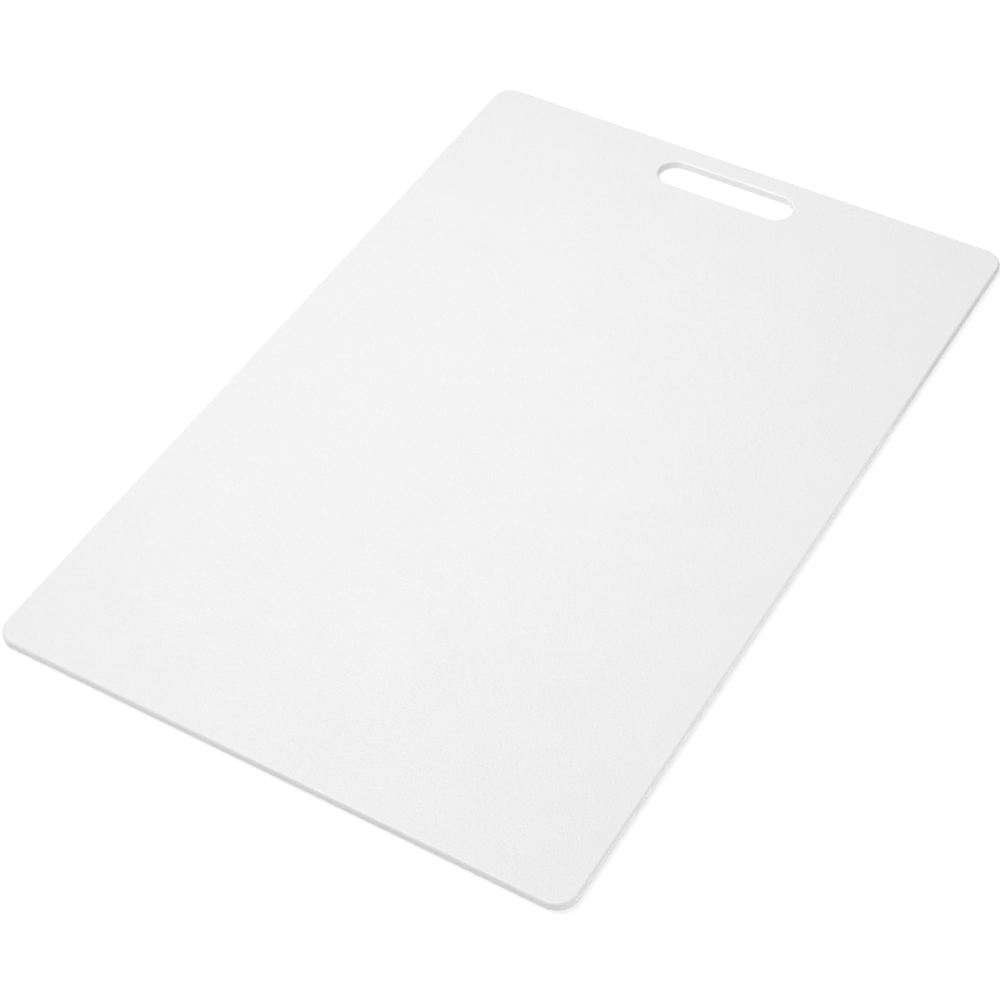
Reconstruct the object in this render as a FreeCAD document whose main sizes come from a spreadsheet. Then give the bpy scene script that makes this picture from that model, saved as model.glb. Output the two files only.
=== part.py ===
# One-piece polyethylene cutting board: a flat plate with round corners, rounded edges and a hand slot.
#
# The board lies flat. X runs across its width, Y along its length towards the hand slot, and Z up
# through its thickness. The origin is the centre of the underside, and lengths are in millimetres.

import FreeCAD, Part
import math
import os

import Sketcher

DIMENSIONS = (
    ("board_width", 304.8, "across the board: 12 inches"),
    ("board_length", 457.2, "along the board: 18 inches"),
    ("thickness", 5.0, "the whole sheet, between its two faces"),
    ("corner_radius", 11.0, "each of the four corners, seen from above"),
    ("slot_length", 79.0, "the hand slot from end to end, across the board"),
    ("slot_width", 19.05, "the hand slot's width, along the board: three quarters of an inch"),
    ("slot_margin", 12.7, "the rim between the slot and the end of the board: half an inch"),
    ("edge_round", 1.5, "round-over of the board's own edges, top and bottom"),
    ("slot_round", 1.0, "round-over of the slot's edges, top and bottom"),
)

# Which point of a sketch line or arc a constraint takes.
START = 1
END = 2
CENTRE = 3

# Sketcher's own numbers for the two axes of a sketch. The horizontal one starts at the origin.
HORIZONTAL_AXIS = -1
VERTICAL_AXIS = -2

LENGTH_TOLERANCE = 1e-4
VOLUME_TOLERANCE = 1e-3


def add_dimensions(doc):
    """The sheet of driving dimensions: a meaning, a value and an alias in each row."""
    sheet = doc.addObject("Spreadsheet::Sheet", "Dimensions")
    for row, (alias, value, meaning) in enumerate(DIMENSIONS, start=1):
        sheet.set(f"A{row}", meaning)
        sheet.set(f"B{row}", str(value))
        sheet.setAlias(f"B{row}", alias)
    doc.recompute()
    return sheet


def add_sketch(body, name):
    """An empty sketch on the body's own XY plane, which is the underside of the board."""
    plane = next(item for item in body.Origin.OriginFeatures if item.Role == "XY_Plane")
    sketch = body.newObject("Sketcher::SketchObject", name)
    sketch.AttachmentSupport = [(plane, "")]
    sketch.MapMode = "FlatFace"
    return sketch


def line(start, end):
    """A sketch line between two (x, y) points."""
    return Part.LineSegment(FreeCAD.Vector(*start, 0), FreeCAD.Vector(*end, 0))


def arc(centre, radius, start_degrees, end_degrees):
    """An anticlockwise sketch arc about an (x, y) centre."""
    circle = Part.Circle(FreeCAD.Vector(*centre, 0), FreeCAD.Vector(0, 0, 1), radius)
    return Part.ArcOfCircle(circle, math.radians(start_degrees), math.radians(end_degrees))


def add_loop(sketch, lines, arcs):
    """Draws a closed loop, anticlockwise, in which each line runs smoothly into the arc after it."""
    line_ids = sketch.addGeometry(lines, False)
    arc_ids = sketch.addGeometry(arcs, False)
    for number, arc_id in enumerate(arc_ids):
        next_line = line_ids[(number + 1) % len(line_ids)]
        sketch.addConstraint(Sketcher.Constraint("Tangent", line_ids[number], END, arc_id, START))
        sketch.addConstraint(Sketcher.Constraint("Tangent", arc_id, END, next_line, START))
    for arc_id in arc_ids[1:]:
        sketch.addConstraint(Sketcher.Constraint("Equal", arc_ids[0], arc_id))
    return line_ids, arc_ids


def drive(sketch, name, constraint, expression):
    """Adds a named dimension to a sketch and binds it to the sheet."""
    index = sketch.addConstraint(constraint)
    sketch.renameConstraint(index, name)
    sketch.setExpression(f"Constraints.{name}", expression)


def draw_outline(body, sheet):
    """The board seen from above: a rectangle centred on the origin, with four equal round corners."""
    sketch = add_sketch(body, "Outline")
    side_x = sheet.board_width / 2
    side_y = sheet.board_length / 2
    radius = sheet.corner_radius
    turn_x = side_x - radius
    turn_y = side_y - radius
    (slot_end, left_side, plain_end, right_side), corners = add_loop(
        sketch,
        [
            line((turn_x, side_y), (-turn_x, side_y)),
            line((-side_x, turn_y), (-side_x, -turn_y)),
            line((-turn_x, -side_y), (turn_x, -side_y)),
            line((side_x, -turn_y), (side_x, turn_y)),
        ],
        [
            arc((-turn_x, turn_y), radius, 90, 180),
            arc((-turn_x, -turn_y), radius, 180, 270),
            arc((turn_x, -turn_y), radius, 270, 360),
            arc((turn_x, turn_y), radius, 0, 90),
        ],
    )
    for end in (slot_end, plain_end):
        sketch.addConstraint(Sketcher.Constraint("Horizontal", end))
    for side in (left_side, right_side):
        sketch.addConstraint(Sketcher.Constraint("Vertical", side))
    # Two opposite corners mirror each other through the origin, which centres the board on it.
    centred = Sketcher.Constraint(
        "Symmetric", corners[0], CENTRE, corners[2], CENTRE, HORIZONTAL_AXIS, START
    )
    sketch.addConstraint(centred)
    across = Sketcher.Constraint("DistanceX", left_side, START, right_side, START, 2 * side_x)
    drive(sketch, "width", across, "Dimensions.board_width")
    along = Sketcher.Constraint("DistanceY", plain_end, START, slot_end, START, 2 * side_y)
    drive(sketch, "length", along, "Dimensions.board_length")
    corner = Sketcher.Constraint("Radius", corners[0], radius)
    drive(sketch, "corner", corner, "Dimensions.corner_radius")
    return sketch


def draw_slot(body, sheet):
    """The hand slot seen from above: two straight sides and half-round ends, across the board."""
    sketch = add_sketch(body, "SlotOutline")
    radius = sheet.slot_width / 2
    turn_x = sheet.slot_length / 2 - radius
    middle_y = sheet.board_length / 2 - sheet.slot_margin - radius
    _, (left_end, right_end) = add_loop(
        sketch,
        [
            line((turn_x, middle_y + radius), (-turn_x, middle_y + radius)),
            line((-turn_x, middle_y - radius), (turn_x, middle_y - radius)),
        ],
        [
            arc((-turn_x, middle_y), radius, 90, 270),
            arc((turn_x, middle_y), radius, 270, 450),
        ],
    )
    centred = Sketcher.Constraint("Symmetric", left_end, CENTRE, right_end, CENTRE, VERTICAL_AXIS)
    sketch.addConstraint(centred)
    between_ends = Sketcher.Constraint("DistanceX", left_end, CENTRE, right_end, CENTRE, 2 * turn_x)
    drive(sketch, "centres", between_ends, "Dimensions.slot_length - Dimensions.slot_width")
    end = Sketcher.Constraint("Radius", left_end, radius)
    drive(sketch, "end", end, "Dimensions.slot_width / 2")
    height = Sketcher.Constraint("DistanceY", HORIZONTAL_AXIS, START, left_end, CENTRE, middle_y)
    drive(
        sketch,
        "place",
        height,
        "Dimensions.board_length / 2 - Dimensions.slot_margin - Dimensions.slot_width / 2",
    )
    return sketch


def face_edges(feature, sheet, of_slot):
    """Names of the sharp edges round the top and bottom faces: the slot's own, or the board's."""
    slot_x = sheet.slot_length / 2 + LENGTH_TOLERANCE
    names = []
    for number, edge in enumerate(feature.Shape.Edges, start=1):
        box = edge.BoundBox
        level = box.ZLength < LENGTH_TOLERANCE
        on_face = min(abs(box.ZMin), abs(box.ZMin - sheet.thickness)) < LENGTH_TOLERANCE
        # Each of the board's own edges reaches further out to one side than the slot does.
        in_slot = max(-box.XMin, box.XMax) < slot_x
        if level and on_face and in_slot == of_slot:
            names.append(f"Edge{number}")
    return names


def round_edges(body, name, base, edges, alias):
    """Rounds the named edges of the feature before it by a radius from the sheet."""
    fillet = body.newObject("PartDesign::Fillet", name)
    fillet.Base = (base, edges)
    fillet.setExpression("Radius", f"Dimensions.{alias}")
    return fillet


def expect_less(feature, base, expected):
    """Stops unless a feature took the expected volume away from the one before it."""
    removed = base.Shape.Volume - feature.Shape.Volume
    if abs(removed / expected - 1) > VOLUME_TOLERANCE:
        raise RuntimeError(f"{feature.Name} removed {removed:.2f} mm3, not {expected:.2f} mm3")


def build_board(doc, sheet):
    """The whole board: a plate, the slot cut through it, and both sets of edges rounded."""
    body = doc.addObject("PartDesign::Body", "Board")
    body.Label = "board"

    plate = body.newObject("PartDesign::Pad", "Plate")
    plate.Profile = draw_outline(body, sheet)
    plate.setExpression("Length", "Dimensions.thickness")

    slot = body.newObject("PartDesign::Pocket", "HandSlot")
    slot.Profile = draw_slot(body, sheet)
    slot.Type = "ThroughAll"
    slot.Reversed = True
    doc.recompute()
    end_circle = math.pi * sheet.slot_width**2 / 4
    slot_area = end_circle + (sheet.slot_length - sheet.slot_width) * sheet.slot_width
    expect_less(slot, plate, slot_area * sheet.thickness)

    outer_edges = face_edges(slot, sheet, of_slot=False)
    outer_rounds = round_edges(body, "OuterRounds", slot, outer_edges, "edge_round")
    doc.recompute()

    slot_edges = face_edges(outer_rounds, sheet, of_slot=True)
    round_edges(body, "SlotRounds", outer_rounds, slot_edges, "slot_round")
    doc.recompute()

    body.Placement = FreeCAD.Placement()
    doc.recompute()
    return body


def check_document(doc, bodies):
    """Stops on any failed object, loose sketch, or body that isn't one valid solid."""
    for item in doc.Objects:
        if "Invalid" in item.State or "Error" in item.State:
            raise RuntimeError(f"{item.Name} failed: {item.State}")
        if item.isDerivedFrom("Sketcher::SketchObject") and not item.FullyConstrained:
            raise RuntimeError(f"{item.Name} has free dimensions")
    for body in bodies:
        shape = body.Shape
        if shape.isNull() or not shape.isValid() or len(shape.Solids) != 1:
            raise RuntimeError(f"{body.Label} isn't one valid solid")


def main():
    doc = FreeCAD.newDocument("CuttingBoard")
    sheet = add_dimensions(doc)
    bodies = [build_board(doc, sheet)]
    check_document(doc, bodies)
    os.makedirs("parts", exist_ok=True)
    for body in bodies:
        body.Shape.exportStep(f"parts/{body.Label}.step")
        box = body.Shape.optimalBoundingBox(False)
        size = f"{box.XLength:.2f} x {box.YLength:.2f} x {box.ZLength:.2f} mm"
        print(f"{body.Label}: {size}, {body.Shape.Volume:.1f} mm3, {len(body.Shape.Faces)} faces")


main()
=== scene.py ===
import math

import bmesh
import bpy
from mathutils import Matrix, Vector
from mathutils.geometry import delaunay_2d_cdt


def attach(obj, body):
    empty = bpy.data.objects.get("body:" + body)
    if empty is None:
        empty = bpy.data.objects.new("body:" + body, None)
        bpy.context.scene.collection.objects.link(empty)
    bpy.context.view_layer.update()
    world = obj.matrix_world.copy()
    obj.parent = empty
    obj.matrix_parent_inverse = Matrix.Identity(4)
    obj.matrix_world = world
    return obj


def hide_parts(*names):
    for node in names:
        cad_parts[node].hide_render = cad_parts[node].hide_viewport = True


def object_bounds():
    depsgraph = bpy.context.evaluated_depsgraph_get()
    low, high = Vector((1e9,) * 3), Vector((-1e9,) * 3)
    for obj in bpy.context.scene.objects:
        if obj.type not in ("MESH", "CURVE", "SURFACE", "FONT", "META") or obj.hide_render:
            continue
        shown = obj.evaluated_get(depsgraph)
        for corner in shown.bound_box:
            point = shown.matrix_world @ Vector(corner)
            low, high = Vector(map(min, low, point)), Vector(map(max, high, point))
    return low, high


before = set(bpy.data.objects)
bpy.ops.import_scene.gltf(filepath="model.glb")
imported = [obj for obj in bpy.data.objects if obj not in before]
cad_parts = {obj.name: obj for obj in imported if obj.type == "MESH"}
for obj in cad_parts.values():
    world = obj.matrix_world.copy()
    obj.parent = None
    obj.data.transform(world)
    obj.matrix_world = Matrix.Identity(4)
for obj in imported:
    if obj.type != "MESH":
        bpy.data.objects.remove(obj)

# A white polyethylene cutting board, lying flat on a white studio sweep. Lengths are in metres.
#
# The board's width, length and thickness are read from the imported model. The other sizes of its
# shape are the design's own, repeated here.

CAD_LOW, CAD_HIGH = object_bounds()
HALF_WIDTH = CAD_HIGH.x
HALF_LENGTH = CAD_HIGH.y
THICKNESS = CAD_HIGH.z

CORNER_RADIUS = 0.011
EDGE_ROUND = 0.0015
SLOT_LENGTH = 0.079
SLOT_WIDTH = 0.01905
SLOT_MARGIN = 0.0127
SLOT_ROUND = 0.001
SLOT_Y = HALF_LENGTH - SLOT_MARGIN - SLOT_WIDTH / 2

# How finely the surface is divided: the size of a cell of the flat faces, and the steps in a
# quarter turn or a wall.
CELL = 0.010
CORNER_STEPS = 20
SLOT_CORNER_STEPS = 18
ROUND_STEPS = 8
WALL_STEPS = 3
POINTS_APART = 1e-9

# Two triangles become a quad if they lie this flat to each other and its corners are this square.
FLAT_WITHIN = math.radians(1)
SQUARE_WITHIN = math.radians(30)

# The polyethylene. The normal is this upright where an edge's finish ends, and where a face's is
# complete. The face has pebbles with finer grain on them, and the edge has cutter lines, which are a
# noise stretched along it. Both stand on shallow waves, and have the same relief as the waves do.
EDGE_UPRIGHT = 0.9
FACE_UPRIGHT = 0.999
PEBBLE_SIZE = 0.0011
PEBBLE_SMOOTHNESS = 0.6
GRAIN_SIZE = 0.0005
GRAIN_SHARE = 0.5
LINES_PER_METRE = (60.0, 60.0, 4500.0)
WAVE_SIZE = 0.055
RELIEF = 0.00012
CLOUD_SIZE = 0.04
DARKER_WHITE = 0.826
LIGHTER_WHITE = 0.850
EDGE_ROUGHNESS = 0.33
SMOOTHER_FACE = 0.40
ROUGHER_FACE = 0.50
REFRACTION = 1.50
SKIN_SHARE = 0.15
SKIN_DEPTH = 0.002

# Most of a noise's values lie between these.
NOISE_LOW = 0.3
NOISE_HIGH = 0.7

# The camera stands in this direction from the origin, at this distance, and looks at a point on the
# work face. The roll turns it about its own line of sight, and the lens is in millimetres.
CAMERA_AZIMUTH = math.radians(32.61)
CAMERA_ELEVATION = math.radians(46.33)
CAMERA_DISTANCE = 1.1674
CAMERA_AIM = Vector((0.0097, -0.0447, THICKNESS))
CAMERA_ROLL = math.radians(-3.76)
CAMERA_LENS = 85.6

# The sweep: a level floor that turns up into a backdrop all round. It glows round the board, like a
# light table, and the glow fades from GLOW_EDGE out to the backdrop. A patch of floor beside the
# board's right edge glows more.
FLOOR_RADIUS = 3.0
SWEEP_RADIUS = 2.0
BACKDROP_HEIGHT = 2.4
SWEEP_STEPS = 12
SWEEP_SEGMENTS = 96
FLOOR_COLOUR = 0.33
GLOW = 0.71
GLOW_EDGE = 1.0
BACKDROP_GLOW = 0.22
SIDE_PLACE = (0.27, -0.10, 0)
SIDE_HALF_WIDTH = 0.110
SIDE_HALF_LENGTH = 0.16
SIDE_FADE_ACROSS = 0.006
SIDE_FADE_ALONG = 0.08
SIDE_GLOW = 0.93

# Even light from all round, and one round softbox that hangs over the board's left side.
WORLD_LIGHT = 0.33
KEY_PLACE = (-0.24, -0.077, 1.1)
KEY_TARGET = (0.47, 0.6, 0)
KEY_SIZE = 0.7
KEY_POWER = 11.8

QUARTER_TURN = math.pi / 2


# Shape ---------------------------------------------------------------------------------------------


def spread(low, high, steps):
    """Evenly spaced values from low up to, but not including, high."""
    return [low + (high - low) * step / steps for step in range(steps)]


def steps_along(length):
    """How many cells of about the usual size fit along a length."""
    return round(length / CELL)


class RoundRectangle:
    """A rectangle with round corners, seen from above, and centred on the board's long axis."""

    def __init__(self, half_x, half_y, radius, centre_y, corner_steps):
        self.turn_x = half_x - radius
        self.turn_y = half_y - radius
        self.radius = radius
        self.centre_y = centre_y
        self.corner_steps = corner_steps

    def stations(self):
        """Points round the outline, anticlockwise, each with its outward direction."""
        found = []
        corners = ((1, 1), (-1, 1), (-1, -1), (1, -1))
        for quarter, (side_x, side_y) in enumerate(corners):
            centre = Vector((side_x * self.turn_x, self.centre_y + side_y * self.turn_y))
            start = quarter * QUARTER_TURN
            for angle in spread(start, start + QUARTER_TURN, self.corner_steps):
                outward = Vector((math.cos(angle), math.sin(angle)))
                found.append((centre + self.radius * outward, outward))
            found += self.side_after(quarter, centre)
        return found

    def side_after(self, quarter, centre):
        """The straight side that follows a corner: none where two corners meet."""
        angle = (quarter + 1) * QUARTER_TURN
        outward = Vector((math.cos(angle), math.sin(angle)))
        onward = Vector((-outward.y, outward.x))
        length = 2 * (self.turn_x if quarter % 2 == 0 else self.turn_y)
        first = centre + self.radius * outward
        return [(first + onward * along, outward) for along in spread(0, length, steps_along(length))]

    def depth(self, x, y):
        """How far inside the outline a point is. Outside, it is negative."""
        past_x = abs(x) - self.turn_x
        past_y = abs(y - self.centre_y) - self.turn_y
        beyond = math.hypot(max(past_x, 0), max(past_y, 0))
        return self.radius - beyond - min(max(past_x, past_y), 0)


def edge_profile(rounding):
    """An edge's section from the top face to the bottom one: inset, height and angle of the normal."""
    section = []
    for angle in spread(QUARTER_TURN, 0, ROUND_STEPS):
        inset = rounding * (1 - math.cos(angle))
        section.append((inset, THICKNESS - rounding * (1 - math.sin(angle)), angle))
    for height in spread(THICKNESS - rounding, rounding, WALL_STEPS):
        section.append((0, height, 0))
    for angle in [*spread(0, -QUARTER_TURN, ROUND_STEPS), -QUARTER_TURN]:
        inset = rounding * (1 - math.cos(angle))
        section.append((inset, rounding * (1 + math.sin(angle)), angle))
    return section


class Surface:
    """Vertices with their exact normals, and the faces between them."""

    def __init__(self):
        self.points = []
        self.normals = []
        self.faces = []

    def add_point(self, x, y, z, normal):
        self.points.append((x, y, z))
        self.normals.append(normal)
        return len(self.points) - 1

    def add_edge(self, stations, rounding, facing):
        """Rings of quads down a rounded edge. facing is 1 outside the plate and -1 inside a hole."""
        rings = []
        for inset, height, angle in edge_profile(rounding):
            ring = []
            for point, outward in stations:
                x, y = point - outward * inset * facing
                across = outward * math.cos(angle) * facing
                ring.append(self.add_point(x, y, height, (across.x, across.y, math.sin(angle))))
            rings.append(ring)
        for upper, lower in zip(rings, rings[1:]):
            for here in range(len(stations)):
                there = (here + 1) % len(stations)
                quad = (upper[here], lower[here], lower[there], upper[there])
                self.faces.append(quad if facing > 0 else quad[::-1])
        return rings[0], rings[-1]

    def add_flat(self, outer, hole, inner_points, height, facing):
        """A flat face between two rings, through a grid of points. facing is 1 for up and -1 for down."""
        normal = (0, 0, facing)
        grid = [self.add_point(x, y, height, normal) for x, y in inner_points]
        used = [*outer, *hole, *grid]
        coords = [Vector(self.points[index][:2]) for index in used]
        borders = ring_borders(0, len(outer)) + ring_borders(len(outer), len(hole))
        _, _, triangles, sources, _, _ = delaunay_2d_cdt(coords, borders, [], 0, POINTS_APART)
        in_hole = set(hole)
        for triangle in triangles:
            corners = [used[sources[corner][0]] for corner in triangle]
            # The hole is convex, so a triangle with all its corners on the hole's ring fills the hole.
            if not in_hole.issuperset(corners):
                self.faces.append(corners if facing > 0 else corners[::-1])


def ring_borders(first, count):
    """The edges of a closed ring of numbered points."""
    return [(first + here, first + (here + 1) % count) for here in range(count)]


def grid_points(plate, slot):
    """A square grid over the plate's flat face that keeps clear of its edge and of the slot's."""
    points = []
    columns = steps_along(2 * plate.turn_x)
    rows = steps_along(2 * plate.turn_y)
    for x in [*spread(-plate.turn_x, plate.turn_x, columns), plate.turn_x]:
        for y in [*spread(-plate.turn_y, plate.turn_y, rows), plate.turn_y]:
            clear_of_slot = -slot.depth(x, y) > SLOT_ROUND + CELL / 2
            if clear_of_slot:
                points.append((x, y))
    return points


def square_up(mesh):
    """Joins the flat faces' triangles into quads wherever two of them make a square one."""
    edited = bmesh.new()
    edited.from_mesh(mesh)
    triangles = [face for face in edited.faces if len(face.verts) == 3]
    bmesh.ops.join_triangles(
        edited,
        faces=triangles,
        angle_face_threshold=FLAT_WITHIN,
        angle_shape_threshold=SQUARE_WITHIN,
    )
    edited.to_mesh(mesh)
    edited.free()


def make_board(material):
    """The plate, with round corners, rounded edges and the hand slot, as one closed mesh."""
    plate = RoundRectangle(HALF_WIDTH, HALF_LENGTH, CORNER_RADIUS, 0, CORNER_STEPS)
    slot = RoundRectangle(
        SLOT_LENGTH / 2, SLOT_WIDTH / 2, SLOT_WIDTH / 2, SLOT_Y, SLOT_CORNER_STEPS
    )
    surface = Surface()
    outer_top, outer_bottom = surface.add_edge(plate.stations(), EDGE_ROUND, 1)
    slot_top, slot_bottom = surface.add_edge(slot.stations(), SLOT_ROUND, -1)
    inner_points = grid_points(plate, slot)
    surface.add_flat(outer_top, slot_top, inner_points, THICKNESS, 1)
    surface.add_flat(outer_bottom, slot_bottom, inner_points, 0, -1)

    mesh = bpy.data.meshes.new("cutting_board")
    mesh.from_pydata(surface.points, [], surface.faces)
    square_up(mesh)
    for polygon in mesh.polygons:
        polygon.use_smooth = True
    mesh.normals_split_custom_set_from_vertices(surface.normals)
    mesh.materials.append(material)
    board = bpy.data.objects.new("cutting_board", mesh)
    bpy.context.scene.collection.objects.link(board)
    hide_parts("board")
    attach(board, "root")


# Materials -----------------------------------------------------------------------------------------


class Nodes:
    """Adds nodes to a new material and links their inputs."""

    def __init__(self, name):
        self.material = bpy.data.materials.new(name)
        self.material.use_nodes = True
        self.tree = self.material.node_tree
        self.surface = next(
            node for node in self.tree.nodes if node.bl_idname == "ShaderNodeBsdfPrincipled"
        )

    def put(self, node, socket, value):
        """Sets an input to a value, or links it to an output."""
        if isinstance(value, bpy.types.NodeSocket):
            self.tree.links.new(value, node.inputs[socket])
        else:
            node.inputs[socket].default_value = value

    def add(self, kind, output, inputs=None, **settings):
        """A new node's output. inputs maps each input's name or number to what is put in it."""
        node = self.tree.nodes.new("ShaderNode" + kind)
        for name, value in settings.items():
            setattr(node, name, value)
        for socket, value in (inputs or {}).items():
            self.put(node, socket, value)
        return node.outputs[output]

    def maths(self, operation, *values):
        return self.add("Math", 0, dict(enumerate(values)), operation=operation)

    def rescale(self, value, low, high, to_low, to_high):
        """Maps low to high smoothly onto to_low to to_high, and holds it there beyond them."""
        inputs = {"Value": value, "From Min": low, "From Max": high, "To Min": to_low, "To Max": to_high}
        return self.add("MapRange", "Result", inputs, interpolation_type="SMOOTHSTEP")

    def noise(self, vector, grain, detail):
        """Noise from 0 to 1 with features about grain metres across, and finer ones on them."""
        return self.add("TexNoise", "Fac", {"Vector": vector, "Scale": 1 / grain, "Detail": detail})

    def mix(self, share, first, second):
        """A number that goes from first to second as share goes from 0 to 1."""
        return self.add("Mix", "Result", {"Factor": share, "A": first, "B": second}, data_type="FLOAT")


def polyethylene():
    """Matt white polyethylene: finely pebbled on its flat faces, smoother on its worked edges."""
    nodes = Nodes("white_polyethylene")
    place = nodes.add("TexCoord", "Object")
    normal = nodes.add("NewGeometry", "Normal")
    upright = nodes.maths("ABSOLUTE", nodes.add("SeparateXYZ", "Z", {"Vector": normal}))
    on_face = nodes.rescale(upright, EDGE_UPRIGHT, FACE_UPRIGHT, 0.0, 1.0)

    cell_inputs = {"Vector": place, "Scale": 1 / PEBBLE_SIZE, "Smoothness": PEBBLE_SMOOTHNESS}
    cells = nodes.add("TexVoronoi", "Distance", cell_inputs, feature="SMOOTH_F1")
    grain = nodes.noise(place, GRAIN_SIZE, detail=3.0)
    pebbles = nodes.maths("MULTIPLY_ADD", grain, GRAIN_SHARE, cells)

    line_inputs = {0: place, 1: LINES_PER_METRE}
    stretched = nodes.add("VectorMath", "Vector", line_inputs, operation="MULTIPLY")
    lines = nodes.noise(stretched, 1.0, detail=2.0)

    waves = nodes.noise(place, WAVE_SIZE, detail=1.0)
    wavy = nodes.add("Bump", "Normal", {"Distance": RELIEF, "Height": waves})
    texture = nodes.mix(on_face, lines, pebbles)
    relief = nodes.add("Bump", "Normal", {"Distance": RELIEF, "Height": texture, "Normal": wavy})

    clouds = nodes.noise(place, CLOUD_SIZE, detail=3.0)
    white = nodes.mix(clouds, DARKER_WHITE, LIGHTER_WHITE)
    face_roughness = nodes.rescale(grain, NOISE_LOW, NOISE_HIGH, SMOOTHER_FACE, ROUGHER_FACE)

    nodes.put(nodes.surface, "Base Color", white)
    nodes.put(nodes.surface, "Roughness", nodes.mix(on_face, EDGE_ROUGHNESS, face_roughness))
    nodes.put(nodes.surface, "Normal", relief)
    nodes.put(nodes.surface, "IOR", REFRACTION)
    nodes.put(nodes.surface, "Subsurface Weight", SKIN_SHARE)
    nodes.put(nodes.surface, "Subsurface Radius", (1.0, 1.0, 1.0))
    nodes.put(nodes.surface, "Subsurface Scale", SKIN_DEPTH)
    return nodes.material


def glowing_white():
    """The sweep's matt finish, which glows round the board and less further out."""
    nodes = Nodes("studio_sweep")
    place = nodes.add("TexCoord", "Object")
    from_centre = nodes.add("VectorMath", "Value", {0: place}, operation="LENGTH")
    table = nodes.rescale(from_centre, GLOW_EDGE, FLOOR_RADIUS + SWEEP_RADIUS, GLOW, BACKDROP_GLOW)
    offset = nodes.add("VectorMath", "Vector", {0: place, 1: SIDE_PLACE}, operation="SUBTRACT")
    fades = []
    for axis, half, fade in (
        ("X", SIDE_HALF_WIDTH, SIDE_FADE_ACROSS),
        ("Y", SIDE_HALF_LENGTH, SIDE_FADE_ALONG),
    ):
        away = nodes.maths("ABSOLUTE", nodes.add("SeparateXYZ", axis, {"Vector": offset}))
        fades.append(nodes.rescale(away, half, half + fade, 1.0, 0.0))
    side = nodes.maths("MULTIPLY", *fades)
    glow = nodes.maths("MULTIPLY_ADD", side, SIDE_GLOW, table)
    nodes.put(nodes.surface, "Base Color", (FLOOR_COLOUR, FLOOR_COLOUR, FLOOR_COLOUR, 1.0))
    nodes.put(nodes.surface, "Roughness", 1.0)
    nodes.put(nodes.surface, "Specular IOR Level", 0.0)
    nodes.put(nodes.surface, "Emission Color", (1.0, 1.0, 1.0, 1.0))
    nodes.put(nodes.surface, "Emission Strength", glow)
    return nodes.material


# Studio --------------------------------------------------------------------------------------------


def make_sweep():
    """A level disc that turns up smoothly into a round backdrop."""
    profile = [(FLOOR_RADIUS, 0)]
    for angle in [*spread(0, QUARTER_TURN, SWEEP_STEPS)[1:], QUARTER_TURN]:
        out = FLOOR_RADIUS + SWEEP_RADIUS * math.sin(angle)
        profile.append((out, SWEEP_RADIUS * (1 - math.cos(angle))))
    profile.append((FLOOR_RADIUS + SWEEP_RADIUS, BACKDROP_HEIGHT))

    points = []
    for radius, height in profile:
        for angle in spread(0, 4 * QUARTER_TURN, SWEEP_SEGMENTS):
            points.append((radius * math.cos(angle), radius * math.sin(angle), height))
    faces = [tuple(range(SWEEP_SEGMENTS))]
    for ring in range(len(profile) - 1):
        for here in range(SWEEP_SEGMENTS):
            there = (here + 1) % SWEEP_SEGMENTS
            inner = ring * SWEEP_SEGMENTS
            outer = inner + SWEEP_SEGMENTS
            faces.append((inner + here, outer + here, outer + there, inner + there))

    mesh = bpy.data.meshes.new("sweep")
    mesh.from_pydata(points, [], faces)
    for polygon in mesh.polygons:
        polygon.use_smooth = True
    mesh.materials.append(glowing_white())
    sweep = bpy.data.objects.new("sweep", mesh)
    bpy.context.scene.collection.objects.link(sweep)


def looking(place, target):
    """The turn that points a light or a camera from its own place to its target."""
    return (Vector(target) - Vector(place)).to_track_quat("-Z", "Y").to_euler()


def add_softbox():
    """A round soft light that isn't seen itself."""
    light = bpy.data.lights.new("key", "AREA")
    light.shape = "DISK"
    light.size = KEY_SIZE
    light.energy = KEY_POWER
    softbox = bpy.data.objects.new("key", light)
    softbox.location = KEY_PLACE
    softbox.rotation_euler = looking(KEY_PLACE, KEY_TARGET)
    softbox.visible_camera = False
    bpy.context.scene.collection.objects.link(softbox)


def light_studio():
    """Even light from all round, and the softbox."""
    world = bpy.data.worlds.new("studio")
    world.use_nodes = True
    background = next(
        node for node in world.node_tree.nodes if node.bl_idname == "ShaderNodeBackground"
    )
    background.inputs["Color"].default_value = (1.0, 1.0, 1.0, 1.0)
    background.inputs["Strength"].default_value = WORLD_LIGHT
    bpy.context.scene.world = world
    add_softbox()


def add_camera():
    """The camera, in front of the board and to its right."""
    data = bpy.data.cameras.new("camera")
    data.lens = CAMERA_LENS
    camera = bpy.data.objects.new("camera", data)
    level = math.cos(CAMERA_ELEVATION)
    direction = Vector(
        (
            math.sin(CAMERA_AZIMUTH) * level,
            -math.cos(CAMERA_AZIMUTH) * level,
            math.sin(CAMERA_ELEVATION),
        )
    )
    camera.location = CAMERA_DISTANCE * direction
    turn = looking(camera.location, CAMERA_AIM)
    turn.rotate_axis("Z", CAMERA_ROLL)
    camera.rotation_euler = turn
    bpy.context.scene.collection.objects.link(camera)
    bpy.context.scene.camera = camera


bpy.context.scene.view_settings.view_transform = "Standard"
make_board(polyethylene())
make_sweep()
light_studio()
add_camera()
